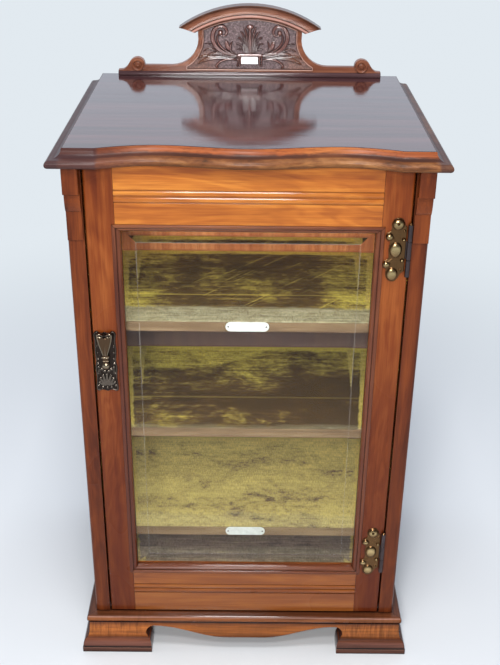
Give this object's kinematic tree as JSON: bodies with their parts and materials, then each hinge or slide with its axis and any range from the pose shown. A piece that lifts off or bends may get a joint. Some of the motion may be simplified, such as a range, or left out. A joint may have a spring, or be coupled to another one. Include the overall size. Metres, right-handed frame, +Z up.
{
  "type": "sheet music cabinet",
  "caption": "Glazed wooden sheet music cabinet with velvet lined shelves, a hinged bevelled glass door, serpentine top, carved upstand and bracket foot plinth.",
  "frame": {"origin": "on the floor, at the middle of the cabinet's width and of its whole depth", "axes": "+Z up, +X to the right as seen from the front, +Y to the back; the door faces -Y"},
  "size_m": [0.568, 0.46, 1.0349],
  "materials": {
    "walnut": "french polished, glossy",
    "dark_walnut": "french polished, glossy",
    "carved_walnut": "carved, waxed",
    "inside_wood": "satin",
    "velvet": "worn olive gold velvet",
    "bevelled_glass": "polished plate with a bevelled border",
    "brass": "polished",
    "old_brass": "darkened with age",
    "steel": "plain",
    "label_white": "white, glossy"
  },
  "bodies": {
    "carcass": {"side_panel_left": "dark_walnut", "side_panel_right": "dark_walnut", "bottom_board": "inside_wood", "top_rail_front": "inside_wood", "top_rail_back": "inside_wood", "back_panel": "inside_wood", "top_board": "dark_walnut", "pilaster_left": "dark_walnut", "pilaster_right": "dark_walnut", "corbel_left": "dark_walnut", "corbel_right": "dark_walnut", "plinth_front": "walnut", "plinth_left": "walnut", "plinth_right": "walnut", "plinth_back": "inside_wood", "shelf_upper": "inside_wood", "shelf_middle": "inside_wood", "shelf_lower": "inside_wood", "shelf_lining_upper": "velvet", "shelf_lining_middle": "velvet", "shelf_lining_lower": "velvet", "floor_lining": "velvet", "side_lining_left": "velvet", "side_lining_right": "velvet", "shelf_bearer_upper_left": "inside_wood", "shelf_bearer_upper_right": "inside_wood", "shelf_bearer_middle_left": "inside_wood", "shelf_bearer_middle_right": "inside_wood", "shelf_bearer_lower_left": "inside_wood", "shelf_bearer_lower_right": "inside_wood", "upstand_board": "walnut", "upstand_arch": "walnut", "upstand_carving": "carved_walnut", "label_upper": "label_white", "label_lower": "label_white", "hinge_leaf_upper": "steel", "hinge_leaf_lower": "steel", "hinge_pin_upper": "brass", "hinge_pin_lower": "brass"},
    "door": {"door_stile_left": "walnut", "door_stile_right": "walnut", "door_rail_top": "walnut", "door_rail_bottom": "walnut", "door_glass": "bevelled_glass", "door_moulding_left": "walnut", "door_moulding_right": "walnut", "door_moulding_top": "walnut", "door_moulding_bottom": "walnut", "glazing_bead_left": "inside_wood", "glazing_bead_right": "inside_wood", "glazing_bead_top": "inside_wood", "glazing_bead_bottom": "inside_wood", "hinge_plate_upper": "brass", "hinge_plate_lower": "brass", "handle_plate": "old_brass", "handle_pin": "old_brass", "lock_case": "brass"},
    "drop_handle": {"drop_handle": "old_brass"},
    "lock_bolt": {"lock_bolt": "brass"}
  },
  "joints": [
    {"name": "door_hinge", "type": "hinge", "parent": "carcass", "child": "door", "pos_m": [0.2317, -0.1942, 0.45], "axis": [0, 0, 1], "range_deg": [0, 100]},
    {"name": "drop_swing", "type": "hinge", "parent": "door", "child": "drop_handle", "pos_m": [-0.2153, -0.1972, 0.6205], "axis": [-1, 0, 0], "range_deg": [0, 80]},
    {"name": "bolt_slide", "type": "slide", "parent": "door", "child": "lock_bolt", "axis": [-1, 0, 0], "range_m": [0, 0.01]}
  ]
}
